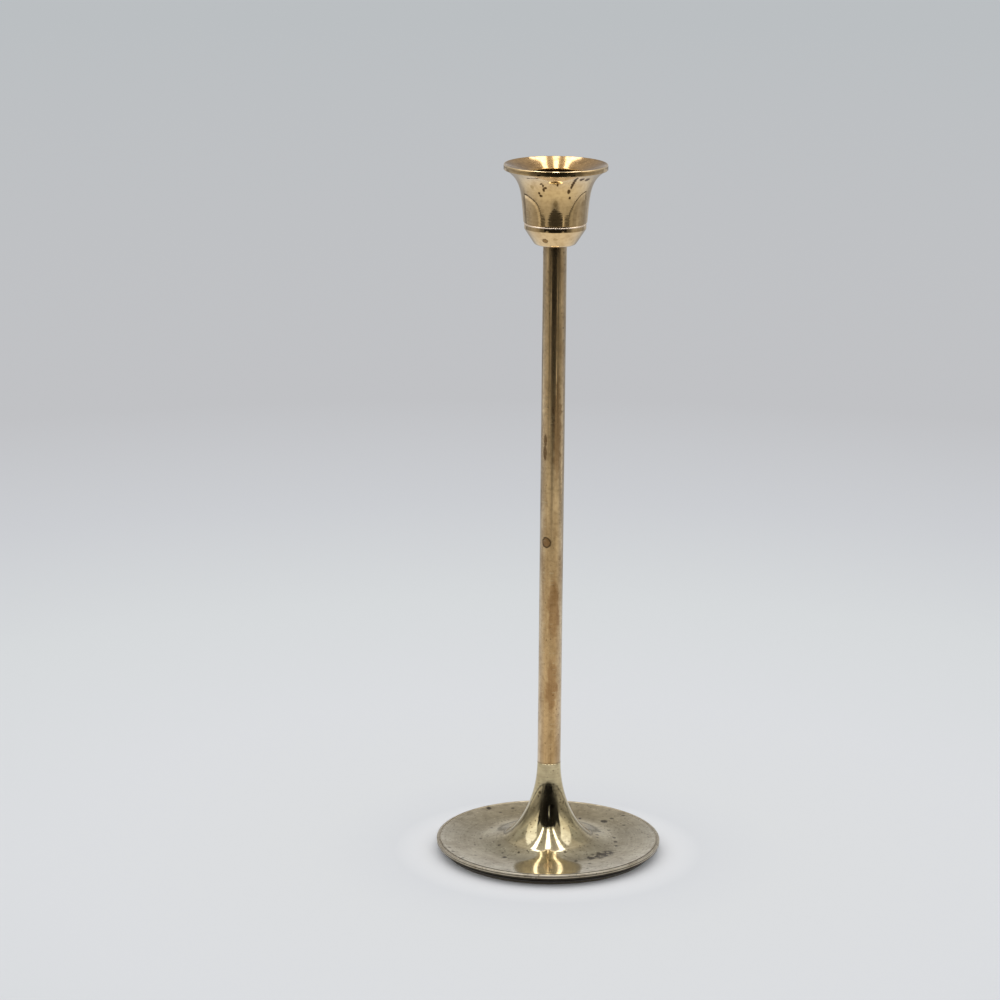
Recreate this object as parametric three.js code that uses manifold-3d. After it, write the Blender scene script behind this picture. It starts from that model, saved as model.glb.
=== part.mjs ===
// A brass candlestick for one taper candle: a turned cup, a thin tube stem and a trumpet foot,
// pulled together by a steel tie rod that is tightened from below and hidden by a felt pad.
// Millimetres, +Z up. The origin is on the table, under the centre of the foot.
import * as THREE from 'three';
import { mergeVertices } from 'three/addons/utils/BufferGeometryUtils.js';
import Module from 'manifold-3d';

const wasm = await Module();
wasm.setup();

// The candle and its socket
const CANDLE_DIAMETER = 22;
const SOCKET_CLEARANCE = 0.2;
const SOCKET_DEPTH = 18;
const SOCKET_WALL = 1.25;
const SOCKET_WEB = 3;
const FUNNEL_DEPTH = 3.5;

// The outside of the candle cup
const RIM_DIAMETER = 40.5;
const RIM_BAND_HEIGHT = 2.1;
const RIM_LIP_WIDTH = 0.65;
const RIM_OVERHANG = 0.4;
const CUP_FLARE_START = { out: 1.02, up: 12.8 };
const CUP_FLARE_END = { out: 6.1, up: 3.8 };
const CUP_GROOVE_HEIGHT = 0.8;
const CUP_GROOVE_DEPTH = 0.5;
const COLLAR_HEIGHT = 1.8;
const COLLAR_STEP = 0.35;
const CONE_HEIGHT = 6.4;
const CONE_INSET = 4.2;

// The stem, a drawn tube, and the spigots of the cup and the foot that centre it
const STEM_DIAMETER = 9.3;
const STEM_LENGTH = 211;
const STEM_WALL = 1.2;
const SPIGOT_LENGTH = 4;
const SPIGOT_CLEARANCE = 0.1;

// The foot: the trumpet leaves the neck upright and comes down to a tight root. From the root the
// disc is dished a little and rises again to its edge. Slopes are in degrees down from the axis.
const FOOT_DIAMETER = 90.2;
const FOOT_HEIGHT = 36;
const NECK_STEP = 0.05;
const NECK_REACH = 13.8;
const TRUMPET_SLOPE = 37.5;
const TRUMPET_REACH = 9;
const ROOT_RADIUS = 18.8;
const ROOT_HEIGHT = 4;
const ROOT_REACH = 0.85;
const DISH_INNER_SLOPE = 15;
const DISH_INNER_REACH = 8;
const DISH_OUTER_SLOPE = -6;
const DISH_OUTER_REACH = 16;
const EDGE_BAND_HEIGHT = 1.6;
const EDGE_BEVEL_HEIGHT = 2.1;
const EDGE_BEVEL_WIDTH = 2.4;
const EDGE_GROOVE_INSET = 1.2;
const EDGE_GROOVE_WIDTH = 0.5;
const EDGE_GROOVE_DEPTH = 0.25;

// The felt pad under the foot
const PAD_THICKNESS = 1.5;
const PAD_INSET = 1.2;

// The M4 tie rod and what tightens it in the recess under the foot
const ROD_DIAMETER = 4;
const ROD_CLEARANCE = 0.15;
const ROD_ENGAGEMENT = 6.5;
const ROD_END_GAP = 0.5;
const ROD_TAIL = 1.5;
const WASHER_DIAMETER = 9;
const WASHER_THICKNESS = 0.8;
const SPRING_WASHER_WIDTH = 1.5;
const SPRING_WASHER_THICKNESS = 0.9;
const SPRING_WASHER_SPLIT = 0.8;
const NUT_ACROSS_FLATS = 7;
const NUT_HEIGHT = 3.2;
const RECESS_SPACE = 3.5;
const RECESS_HEADROOM = 3.1;

// Broken edges
const FINE_EDGE = 0.15;
const SOFT_EDGE = 0.4;
const ROUND_EDGE = 1;

// Facets round each piece
const LARGE_FACETS = 72;
const MEDIUM_FACETS = 48;
const SMALL_FACETS = 24;

// Sizes that follow from the ones above
const SOCKET_RADIUS = CANDLE_DIAMETER / 2 + SOCKET_CLEARANCE;
const ROD_RADIUS = ROD_DIAMETER / 2;
const ROD_HOLE_RADIUS = ROD_RADIUS + ROD_CLEARANCE;
const ROD_HOLE_DEPTH = ROD_ENGAGEMENT + ROD_END_GAP;
const SOCKET_FLOOR = ROD_HOLE_DEPTH + SOCKET_WEB;
const CUP_HEIGHT = SOCKET_FLOOR + SOCKET_DEPTH + FUNNEL_DEPTH;
const STEM_RADIUS = STEM_DIAMETER / 2;
const STEM_BORE_RADIUS = STEM_RADIUS - STEM_WALL;
const SPIGOT_RADIUS = STEM_BORE_RADIUS - SPIGOT_CLEARANCE;
const FOOT_RADIUS = FOOT_DIAMETER / 2;
const TIGHTENING_STACK = WASHER_THICKNESS + SPRING_WASHER_THICKNESS + NUT_HEIGHT;
const RECESS_RADIUS = WASHER_DIAMETER / 2 + RECESS_SPACE;
const RECESS_DEPTH = TIGHTENING_STACK + ROD_TAIL + RECESS_HEADROOM;

// Heights above the table at which the pieces seat
const FOOT_SEAT = PAD_THICKNESS;
const STEM_SEAT = FOOT_SEAT + FOOT_HEIGHT;
const CUP_SEAT = STEM_SEAT + STEM_LENGTH;
const WASHER_SEAT = FOOT_SEAT + RECESS_DEPTH;
const SPRING_WASHER_SEAT = WASHER_SEAT - WASHER_THICKNESS;
const NUT_SEAT = SPRING_WASHER_SEAT - SPRING_WASHER_THICKNESS;

// A point of an outline: its distance from the axis and its height.
function at(radius, height) {
  return new THREE.Vector2(radius, height);
}

// The point that is reached from another one by going inwards up a slope.
function inwards(from, slope, reach) {
  const angle = THREE.MathUtils.degToRad(slope);
  return at(from.x - reach * Math.cos(angle), from.y + reach * Math.sin(angle));
}

// A corner softened by a curve that leaves each of its two sides at the given reach.
function softCorner(before, corner, after, reach) {
  const start = before.clone().sub(corner).setLength(reach).add(corner);
  const end = after.clone().sub(corner).setLength(reach).add(corner);
  return new THREE.QuadraticBezierCurve(start, corner, end).getPoints(4);
}

// A turned piece: its outline, from points and runs of points, swung round the Z axis.
function turned(outline, facets) {
  const geometry = new THREE.LatheGeometry(outline.flat(), facets);
  return geometry.rotateX(Math.PI / 2);
}

// A turned piece with a hole right through it: the outline closes on its first point.
function turnedRing(outline, facets) {
  const points = outline.flat();
  return turned([points, points[0].clone()], facets);
}

function toSolid(geometry) {
  const bare = geometry.clone();
  bare.deleteAttribute('normal');
  bare.deleteAttribute('uv');
  const merged = mergeVertices(bare, 1e-4);
  const mesh = new wasm.Mesh({
    numProp: 3,
    vertProperties: new Float32Array(merged.attributes.position.array),
    triVerts: new Uint32Array(merged.index.array),
  });
  return new wasm.Manifold(mesh);
}

function toGeometry(solid) {
  const mesh = solid.getMesh();
  const geometry = new THREE.BufferGeometry();
  geometry.setAttribute('position', new THREE.BufferAttribute(mesh.vertProperties, 3));
  geometry.setIndex(new THREE.BufferAttribute(mesh.triVerts, 1));
  geometry.computeVertexNormals();
  return geometry;
}

// Turned from a brass casting. Its heights are counted from the face that sits on the stem.
function candleCup() {
  const waist = SOCKET_RADIUS + SOCKET_WALL;
  const collar = waist - COLLAR_STEP;
  const coneFoot = collar - CONE_INSET;
  const collarTop = CONE_HEIGHT + COLLAR_HEIGHT;
  const flareBottom = collarTop + CUP_GROOVE_HEIGHT;
  const bandBottom = CUP_HEIGHT - RIM_BAND_HEIGHT;
  const rim = RIM_DIAMETER / 2;
  const lip = rim - RIM_LIP_WIDTH;
  const funnelBottom = CUP_HEIGHT - FUNNEL_DEPTH;
  const flare = new THREE.CubicBezierCurve(
    at(waist, flareBottom),
    at(waist + CUP_FLARE_START.out, flareBottom + CUP_FLARE_START.up),
    at(rim - RIM_OVERHANG - CUP_FLARE_END.out, bandBottom - CUP_FLARE_END.up),
    at(rim - RIM_OVERHANG, bandBottom),
  );
  return turned([
    at(0, ROD_HOLE_DEPTH),
    at(ROD_HOLE_RADIUS, ROD_HOLE_DEPTH),
    at(ROD_HOLE_RADIUS, -SPIGOT_LENGTH),
    at(SPIGOT_RADIUS - FINE_EDGE, -SPIGOT_LENGTH),
    at(SPIGOT_RADIUS, FINE_EDGE - SPIGOT_LENGTH),
    at(SPIGOT_RADIUS, 0),
    softCorner(at(0, 0), at(coneFoot, 0), at(collar, CONE_HEIGHT), ROUND_EDGE),
    at(collar, CONE_HEIGHT),
    at(collar, collarTop),
    at(waist - CUP_GROOVE_DEPTH, flareBottom - CUP_GROOVE_HEIGHT / 4),
    flare.getPoints(14),
    at(rim, bandBottom),
    softCorner(at(rim, bandBottom), at(rim, CUP_HEIGHT), at(lip, CUP_HEIGHT), SOFT_EDGE),
    softCorner(at(rim, CUP_HEIGHT), at(lip, CUP_HEIGHT), at(SOCKET_RADIUS, funnelBottom), FINE_EDGE),
    softCorner(at(lip, CUP_HEIGHT), at(SOCKET_RADIUS, funnelBottom), at(SOCKET_RADIUS, 0), SOFT_EDGE),
    at(SOCKET_RADIUS, SOCKET_FLOOR),
    at(0, SOCKET_FLOOR),
  ], LARGE_FACETS);
}

// Cut from drawn brass tube, with its end edges broken.
function stemTube() {
  return turnedRing([
    at(STEM_BORE_RADIUS, 0),
    at(STEM_RADIUS - FINE_EDGE, 0),
    at(STEM_RADIUS, FINE_EDGE),
    at(STEM_RADIUS, STEM_LENGTH - FINE_EDGE),
    at(STEM_RADIUS - FINE_EDGE, STEM_LENGTH),
    at(STEM_BORE_RADIUS, STEM_LENGTH),
  ], MEDIUM_FACETS);
}

// Cast in brass and turned all over. Its heights are counted from the face that sits on the pad.
function foot() {
  const neck = STEM_RADIUS + NECK_STEP;
  const bandTop = EDGE_BEVEL_HEIGHT + EDGE_BAND_HEIGHT;
  const level = FOOT_RADIUS - EDGE_BEVEL_WIDTH;
  const groove = FOOT_RADIUS - EDGE_GROOVE_INSET;
  const dishEdge = at(groove - EDGE_GROOVE_WIDTH / 2, bandTop);
  const rootStart = at(ROOT_RADIUS, ROOT_HEIGHT);
  const rootCorner = inwards(rootStart, DISH_INNER_SLOPE, ROOT_REACH);
  const rootEnd = inwards(rootCorner, TRUMPET_SLOPE, ROOT_REACH);
  const dish = new THREE.CubicBezierCurve(
    dishEdge,
    inwards(dishEdge, DISH_OUTER_SLOPE, DISH_OUTER_REACH),
    inwards(rootStart, DISH_INNER_SLOPE, -DISH_INNER_REACH),
    rootStart,
  );
  const trumpet = new THREE.CubicBezierCurve(
    rootEnd,
    inwards(rootEnd, TRUMPET_SLOPE, TRUMPET_REACH),
    at(neck, FOOT_HEIGHT - NECK_REACH),
    at(neck, FOOT_HEIGHT - FINE_EDGE),
  );
  return turnedRing([
    at(ROD_HOLE_RADIUS, RECESS_DEPTH),
    at(RECESS_RADIUS, RECESS_DEPTH),
    at(RECESS_RADIUS, FINE_EDGE),
    at(RECESS_RADIUS + FINE_EDGE, 0),
    at(level, 0),
    softCorner(at(level, 0), at(FOOT_RADIUS, EDGE_BEVEL_HEIGHT), at(FOOT_RADIUS, bandTop), SOFT_EDGE),
    softCorner(at(FOOT_RADIUS, 0), at(FOOT_RADIUS, bandTop), at(groove, bandTop), SOFT_EDGE),
    at(groove + EDGE_GROOVE_WIDTH / 2, bandTop),
    at(groove, bandTop - EDGE_GROOVE_DEPTH),
    dish.getPoints(10).slice(0, -1),
    softCorner(rootStart, rootCorner, rootEnd, ROOT_REACH),
    trumpet.getPoints(18).slice(1),
    at(neck - FINE_EDGE, FOOT_HEIGHT),
    at(SPIGOT_RADIUS, FOOT_HEIGHT),
    at(SPIGOT_RADIUS, FOOT_HEIGHT + SPIGOT_LENGTH - FINE_EDGE),
    at(SPIGOT_RADIUS - FINE_EDGE, FOOT_HEIGHT + SPIGOT_LENGTH),
    at(ROD_HOLE_RADIUS, FOOT_HEIGHT + SPIGOT_LENGTH),
  ], LARGE_FACETS);
}

// M4 studding, drawn at the outside diameter of its thread.
function tieRod() {
  const bottom = NUT_SEAT - NUT_HEIGHT - ROD_TAIL;
  const length = CUP_SEAT + ROD_ENGAGEMENT - bottom;
  const geometry = turned([
    at(0, 0),
    at(ROD_RADIUS - SOFT_EDGE, 0),
    at(ROD_RADIUS, SOFT_EDGE),
    at(ROD_RADIUS, length - SOFT_EDGE),
    at(ROD_RADIUS - SOFT_EDGE, length),
    at(0, length),
  ], SMALL_FACETS);
  return geometry.translate(0, 0, bottom);
}

function flatWasher() {
  const outside = WASHER_DIAMETER / 2;
  return turnedRing([
    at(ROD_HOLE_RADIUS, 0),
    at(outside - FINE_EDGE, 0),
    at(outside, FINE_EDGE),
    at(outside, WASHER_THICKNESS),
    at(ROD_HOLE_RADIUS, WASHER_THICKNESS),
  ], MEDIUM_FACETS);
}

// A split spring washer, pressed flat between the nut and the flat washer.
function springWasher() {
  const inside = ROD_HOLE_RADIUS;
  const outside = inside + SPRING_WASHER_WIDTH;
  const slant = Math.asin(SPRING_WASHER_SPLIT / 2 / inside);
  const ring = new THREE.Shape();
  ring.absarc(0, 0, outside, slant, 2 * Math.PI - slant, false);
  ring.absarc(0, 0, inside, 2 * Math.PI - slant, slant, true);
  return new THREE.ExtrudeGeometry(ring, {
    depth: SPRING_WASHER_THICKNESS,
    bevelEnabled: false,
    curveSegments: SMALL_FACETS,
  });
}

// A hexagon nut. The cone of the bar it was turned from takes the corners off both its faces.
function hexNut() {
  const corner = NUT_ACROSS_FLATS / 2 / Math.cos(Math.PI / 6);
  const drop = (corner - NUT_ACROSS_FLATS / 2) * Math.tan(Math.PI / 6);
  const hexagon = new THREE.Shape();
  for (let i = 0; i < 6; i += 1) {
    const angle = (i * Math.PI) / 3;
    hexagon.lineTo(corner * Math.cos(angle), corner * Math.sin(angle));
  }
  hexagon.curves.shift();
  const hole = new THREE.Path();
  hole.absarc(0, 0, ROD_HOLE_RADIUS, 0, 2 * Math.PI, true);
  hexagon.holes.push(hole);
  const bar = new THREE.ExtrudeGeometry(hexagon, {
    depth: NUT_HEIGHT,
    bevelEnabled: false,
    curveSegments: SMALL_FACETS / 2,
  });
  const facing = turned([
    at(0, 0),
    at(NUT_ACROSS_FLATS / 2, 0),
    at(corner, drop),
    at(corner, NUT_HEIGHT - drop),
    at(NUT_ACROSS_FLATS / 2, NUT_HEIGHT),
    at(0, NUT_HEIGHT),
  ], MEDIUM_FACETS);
  return toGeometry(toSolid(bar).intersect(toSolid(facing)));
}

// A disc of felt, stuck to the flat underside of the foot.
function feltPad() {
  const radius = FOOT_RADIUS - EDGE_BEVEL_WIDTH - PAD_INSET;
  return turned([
    at(0, 0),
    softCorner(at(0, 0), at(radius, 0), at(radius, PAD_THICKNESS), SOFT_EDGE),
    at(radius, PAD_THICKNESS),
    at(0, PAD_THICKNESS),
  ], LARGE_FACETS);
}

const paleBrass = { color: 0xc9b48a, roughness: 0.22, metalness: 1 };
const goldenBrass = { color: 0xb08f5c, roughness: 0.3, metalness: 1 };
const greyedBrass = { color: 0xa89c80, roughness: 0.25, metalness: 1 };
const zincedSteel = { color: 0xb9bcc0, roughness: 0.4, metalness: 1 };
const darkFelt = { color: 0x2a2b28, roughness: 0.95, metalness: 0 };

const candlestick = new THREE.Group();

function add(name, geometry, finish, seat = 0) {
  const mesh = new THREE.Mesh(geometry, new THREE.MeshStandardMaterial(finish));
  mesh.name = name;
  mesh.position.z = seat;
  candlestick.add(mesh);
}

add('candle_cup', candleCup(), paleBrass, CUP_SEAT);
add('stem_tube', stemTube(), goldenBrass, STEM_SEAT);
add('foot', foot(), greyedBrass, FOOT_SEAT);
add('tie_rod', tieRod(), zincedSteel);
add('flat_washer', flatWasher(), zincedSteel, WASHER_SEAT - WASHER_THICKNESS);
add('spring_washer', springWasher(), zincedSteel, SPRING_WASHER_SEAT - SPRING_WASHER_THICKNESS);
add('hex_nut', hexNut(), zincedSteel, NUT_SEAT - NUT_HEIGHT);
add('felt_pad', feltPad(), darkFelt);

export default candlestick;
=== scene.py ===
import math

import bpy
from mathutils import Matrix, Vector, noise


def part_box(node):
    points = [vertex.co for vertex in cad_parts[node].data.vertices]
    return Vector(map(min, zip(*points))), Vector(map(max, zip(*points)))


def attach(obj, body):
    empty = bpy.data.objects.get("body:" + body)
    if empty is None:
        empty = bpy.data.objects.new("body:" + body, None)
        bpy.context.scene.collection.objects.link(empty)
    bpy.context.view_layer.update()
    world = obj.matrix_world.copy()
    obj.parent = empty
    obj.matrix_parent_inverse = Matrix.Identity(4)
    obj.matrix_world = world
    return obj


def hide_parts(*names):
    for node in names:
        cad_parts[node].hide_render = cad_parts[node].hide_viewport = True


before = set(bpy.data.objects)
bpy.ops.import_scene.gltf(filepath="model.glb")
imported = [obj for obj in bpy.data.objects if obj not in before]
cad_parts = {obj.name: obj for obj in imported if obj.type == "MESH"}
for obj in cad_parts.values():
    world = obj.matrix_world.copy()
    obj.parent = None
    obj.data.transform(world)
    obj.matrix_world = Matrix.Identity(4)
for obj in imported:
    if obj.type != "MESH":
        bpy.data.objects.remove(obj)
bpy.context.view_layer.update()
scene = bpy.context.scene

# The viewpoint. The photograph was taken from 1.4 m away through a long lens, tipped down by
# 14 degrees and leaning half a degree, so the stem stands a little off upright.
CAMERA_PLACE = (-0.02058, -1.35249, 0.49170)
CAMERA_TIP = 75.656
CAMERA_LEAN = 0.459
CAMERA_LENS = 127.08
CAMERA_FRAME = 36
camera_lens = bpy.data.cameras.new("camera")
camera_lens.sensor_width = CAMERA_FRAME
camera_lens.lens = CAMERA_LENS
camera = bpy.data.objects.new("camera", camera_lens)
scene.collection.objects.link(camera)
camera.matrix_world = (
    Matrix.Translation(CAMERA_PLACE)
    @ Matrix.Rotation(math.radians(CAMERA_TIP), 4, "X")
    @ Matrix.Rotation(math.radians(CAMERA_LEAN), 4, "Z")
)
scene.camera = camera
scene.view_settings.view_transform = "Standard"

# The light tent. Its white cloth gives even light from all sides, and its pale floor has painted
# light that greys away from the object. The polished brass also shows what the camera doesn't: the
# dark opening that it looks in through, the low flaps beside that, the walls, the lamps and the roof.
TENT_LIGHT = "#FFFFFF"
TENT_CLOTH = "#BFC2C5"
FLOOR_RADIUS = 4.0
FLOOR_SIDES = 96
# Painted light: the floor is palest just round the foot, making up for the foot's shadow, and greys
# outwards from there.
FLOOR_TONES_AND_PAINTED_LIGHT = (
    (0.047, "#ECEDEF"),
    (0.0625, "#DBDDE0"),
    (0.095, "#DDDFE1"),
    (0.20, "#DCDEE1"),
    (0.37, "#D7DADC"),
    (0.57, "#CCCED2"),
    (0.83, "#C1C2C5"),
    (2.90, "#BBBFC2"),
)


def linear(code):
    """An sRGB hex colour as Blender's linear colour."""
    parts = [int(code[i : i + 2], 16) / 255 for i in (1, 3, 5)]
    return [p / 12.92 if p <= 0.04045 else ((p + 0.055) / 1.055) ** 2.4 for p in parts] + [1.0]


def connect(tree, node, inputs):
    """Gives a node its inputs, in order or by name. Each is a value, or what to link."""
    sockets = [s for s in node.inputs if s.enabled]
    given = inputs.items() if isinstance(inputs, dict) else zip(sockets, inputs)
    for key, value in given:
        socket = next(s for s in sockets if s == key or s.name == key)
        if isinstance(value, bpy.types.Node):
            value = next(s for s in value.outputs if s.enabled)
        if isinstance(value, bpy.types.NodeSocket):
            tree.links.new(value, socket)
        else:
            socket.default_value = value


def add(tree, kind, inputs=(), stops=(), **settings):
    """Adds a node with its settings and inputs, and a colour ramp with its stops."""
    node = tree.nodes.new("ShaderNode" + kind)
    for name, value in settings.items():
        setattr(node, name, value)
    for place, colour in stops[2:]:
        node.color_ramp.elements.new(place)
    for element, (place, colour) in zip(node.color_ramp.elements if stops else (), stops):
        element.position = place
        element.color = linear(colour)
    connect(tree, node, inputs)
    return node


def finish(name):
    """A new material: itself, its node tree and its shader."""
    material = bpy.data.materials.new(name)
    material.use_nodes = True
    return material, material.node_tree, material.node_tree.nodes["Principled BSDF"]


# The camera and the brass see the grey of the cloth, and the light that falls on things is white.
world = bpy.data.worlds.new("light_tent")
world.use_nodes = True
scene.world = world
air = world.node_tree
seen = add(air, "LightPath").outputs
shown = add(air, "Math", [seen["Is Camera Ray"], seen["Is Glossy Ray"]], operation="MAXIMUM")
shown = add(air, "Math", [shown, seen["Is Transmission Ray"]], operation="MAXIMUM")
light = add(air, "Background", [linear(TENT_LIGHT), 1.0])
cloth = add(air, "Background", [linear(TENT_CLOTH), 1.0])
connect(air, air.nodes["World Output"], {"Surface": add(air, "MixShader", [shown, light, cloth])})

floor_mesh = bpy.data.meshes.new("floor")
around = [2 * math.pi * i / FLOOR_SIDES for i in range(FLOOR_SIDES)]
floor_mesh.from_pydata(
    [(FLOOR_RADIUS * math.cos(a), FLOOR_RADIUS * math.sin(a), 0.0) for a in around],
    [],
    [range(FLOOR_SIDES)],
)
floor = bpy.data.objects.new("floor", floor_mesh)
scene.collection.objects.link(floor)
# Matt white board, without gloss. The brass mirrors it with painted shade: a little dimmer towards
# the walls, darker in a painted shadow beside the opening, and dimmer all over at the rear.
FLOOR_DIMMING = (
    (0.10, "#FDFDFD"),
    (0.30, "#F9F9F9"),
    (0.50, "#F3F3F3"),
    (0.62, "#E8E8E8"),
    (0.75, "#D8D8D8"),
)
FLOOR_SHADE = (-0.02, -0.66, 0.0)
FLOOR_SHADE_REACH = (0.05, 0.24)
FLOOR_SHADE_DEPTH = 0.5
FLOOR_REAR = "#CFCFCF"
FLOOR_REAR_REACH = (0.2, 0.45)
material, tree, shader = finish("matt_white_board")
place = add(tree, "TexCoord").outputs["Object"]
away = add(tree, "VectorMath", [place], operation="LENGTH")
share = add(tree, "Math", [away, FLOOR_RADIUS], operation="DIVIDE")
tone = add(tree, "ValToRGB", [share], stops=[(r / FLOOR_RADIUS, c) for r, c in FLOOR_TONES_AND_PAINTED_LIGHT])
dimming = add(tree, "ValToRGB", [away], stops=FLOOR_DIMMING)
shade = add(tree, "VectorMath", [place, FLOOR_SHADE], operation="DISTANCE")
shade = [shade, *FLOOR_SHADE_REACH, FLOOR_SHADE_DEPTH, 1.0]
shade = add(tree, "MapRange", shade, interpolation_type="SMOOTHSTEP")
dimming = add(tree, "Mix", [1.0, dimming, shade], data_type="RGBA", blend_type="MULTIPLY")
rear = add(tree, "SeparateXYZ", [place]).outputs["Y"]
rear = add(tree, "MapRange", [rear, *FLOOR_REAR_REACH])
dimming = add(tree, "Mix", [rear, dimming, linear(FLOOR_REAR)], data_type="RGBA")
dimmed = add(tree, "Mix", [1.0, tone, dimming], data_type="RGBA", blend_type="MULTIPLY")
mirrored = add(tree, "LightPath").outputs["Is Glossy Ray"]
tone = add(tree, "Mix", [mirrored, tone, dimmed], data_type="RGBA")
connect(tree, shader, {"Base Color": tone, "Roughness": 1.0, "Specular IOR Level": 0.0})
floor_mesh.materials.append(material)

# White tent cloth as the brass mirrors it. Each sheet is as bright as its points say, and where
# the lamps light it most it is a little blue.
LAMPLIT = "#EFF5FF"
LAMPLIT_FROM = (1.2, 2.0)
tent_mirrored, tree, shader = finish("tent_cloth_mirrored")
glow = add(tree, "Attribute", attribute_name="brightness").outputs["Fac"]
lamplit = add(tree, "MapRange", [glow, *LAMPLIT_FROM])
tint = add(tree, "Mix", [lamplit, linear(TENT_LIGHT), linear(LAMPLIT)], data_type="RGBA")
connect(tree, shader, {"Base Color": linear("#000000"), "Specular IOR Level": 0.0})
connect(tree, shader, {"Emission Color": tint, "Emission Strength": glow})
tent_mirrored.cycles.emission_sampling = "NONE"


def hang(name, rows):
    """Hangs a sheet of the tent that only reflections show, from rows of points that each give
    their place and how bright the sheet is there."""
    wide = len(rows[0])
    points = [point for row in rows for point in row]
    mesh = bpy.data.meshes.new(name)
    mesh.from_pydata(
        [point[:3] for point in points],
        [],
        [(i, i + 1, i + 1 + wide, i + wide) for i in range(len(points) - wide) if (i + 1) % wide],
    )
    brightness = mesh.attributes.new("brightness", "FLOAT", "POINT")
    brightness.data.foreach_set("value", [point[3] for point in points])
    mesh.materials.append(tent_mirrored)
    sheet = bpy.data.objects.new(name, mesh)
    scene.collection.objects.link(sheet)
    sheet.visible_camera = False
    sheet.visible_diffuse = False
    sheet.visible_transmission = False
    sheet.visible_shadow = False


FRONT = -0.69
SIDE = 0.63
REAR = 1.0
ROOF = 1.2
FULL_WIDTH = (-1.2, 1.2)

# The opening is dark, apart from a narrow slit of light.
ACROSS = (-1.0, -0.7, -0.35, 0.0, 0.35, 0.7, 1.0)
OPENING = (
    (0.12, SIDE, (0.10, 0.05, 0.02, 0.01, 0.02, 0.05, 0.08)),
    (0.24, SIDE, (0.05, 0.02, 0.01, 0.01, 0.01, 0.02, 0.03)),
    (0.64, SIDE, (0.05, 0.02, 0.01, 0.01, 0.01, 0.02, 0.03)),
    (0.74, 0.40, (0.04, 0.02, 0.01, 0.01, 0.01, 0.02, 0.04)),
)
SLIT = ((0.285, 0.024, 0.036), (0.335, 0.022, 0.038), (0.42, 0.014, 0.046))
SLIT_AHEAD = 0.01
SLIT_TONE = 2.4
for i, (low, high) in enumerate(zip(OPENING, OPENING[1:])):
    pair = [[(x * half, FRONT, z, t) for x, t in zip(ACROSS, tones)] for z, half, tones in (low, high)]
    hang(f"front_opening_{i}", pair)
slit = [[(x, FRONT + SLIT_AHEAD, z, SLIT_TONE) for x in (left, right)] for z, left, right in SLIT]
hang("opening_slit", slit)

# Outside it the ground runs on into the dark, with a sill along the opening and light spilled over
# both sides. These sheets lie a millimetre over one another.
DARK_PLACE = -1.4
DARK_HEIGHT = 0.5
DARK_TONE = 0.012
GROUND = ((FRONT, 0.04), (-0.80, 0.04), (-1.00, 0.015), (DARK_PLACE, 0.01))
GROUND_LIFT = 0.002
SILL = (
    (-0.40, -0.730),
    (-0.25, -0.700),
    (-0.15, -0.675),
    (-0.06, -0.655),
    (0.03, -0.675),
    (0.13, -0.700),
    (0.30, -0.730),
)
SILL_END = FRONT - 0.06
SILL_LIFT = 0.003
SILL_TONE = 0.05
SPILL = (
    (-0.66, 0.55, (0.41, 0.58), (0.33, 0.52)),
    (-0.80, 0.50, (0.45, 0.62), (0.36, 0.55)),
    (-0.95, 0.38, (0.48, 0.66), (0.42, 0.60)),
    (-1.10, 0.12, (0.50, 0.70), (0.45, 0.64)),
)
SPILL_LIFT = 0.004
hang("ground_outside", [[(x, y, GROUND_LIFT, t) for x in FULL_WIDTH] for y, t in GROUND])
hang("dark_outside", [[(x, DARK_PLACE, z, DARK_TONE) for x in FULL_WIDTH] for z in (0.0, DARK_HEIGHT)])
hang("ground_sill", [[(x, y, SILL_LIFT, SILL_TONE) for y in (near, SILL_END)] for x, near in SILL])
hang("spill_left", [[(-x, y, SPILL_LIFT, t) for x in left] for y, t, left, right in SPILL])
hang("spill_right", [[(x, y, SPILL_LIFT, t) for x in right] for y, t, left, right in SPILL])

# Each side wall is brighter towards the rear, with a lamp over it from the place given, and a dark
# corner before that.
SIDE_WALLS = (("left", -SIDE, -0.47), ("right", SIDE, -0.42))
WALL_TOP = 0.32
BACKWARDS = (FRONT, -0.53, -0.42, -0.27, -0.10, 0.05, 0.45)
WALL = (
    (0.00, (0.10, 0.11, 0.14, 0.33, 0.38, 0.30, 0.25)),
    (0.14, (0.11, 0.11, 0.14, 0.34, 0.40, 0.36, 0.28)),
    (0.18, (0.08, 0.08, 0.12, 0.20, 0.21, 0.25, 0.28)),
    (0.24, (0.04, 0.05, 0.10, 0.32, 0.46, 0.46, 0.40)),
    (WALL_TOP, (0.03, 0.04, 0.12, 0.45, 0.72, 0.80, 0.60)),
)
SIDE_LAMP = (
    (WALL_TOP, 0.75),
    (0.36, 0.95),
    (0.46, 1.30),
    (0.51, 1.70),
    (0.65, 1.90),
    (0.77, 2.20),
    (1.10, 2.35),
)
SIDE_LAMP_END = 0.05
CORNER_HEIGHTS = (WALL_TOP, 0.66)
CORNER_TONE = 0.03
for name, wall, lamp_start in SIDE_WALLS:
    hang(f"wall_{name}", [[(wall, y, z, t) for y, t in zip(BACKWARDS, tones)] for z, tones in WALL])
    lamp = (lamp_start, SIDE_LAMP_END)
    hang(f"side_lamp_{name}", [[(wall, y, z, t) for y in lamp] for z, t in SIDE_LAMP])
    corner = (FRONT, lamp_start)
    hang(f"dark_corner_{name}", [[(wall, y, z, CORNER_TONE) for y in corner] for z in CORNER_HEIGHTS])

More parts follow.
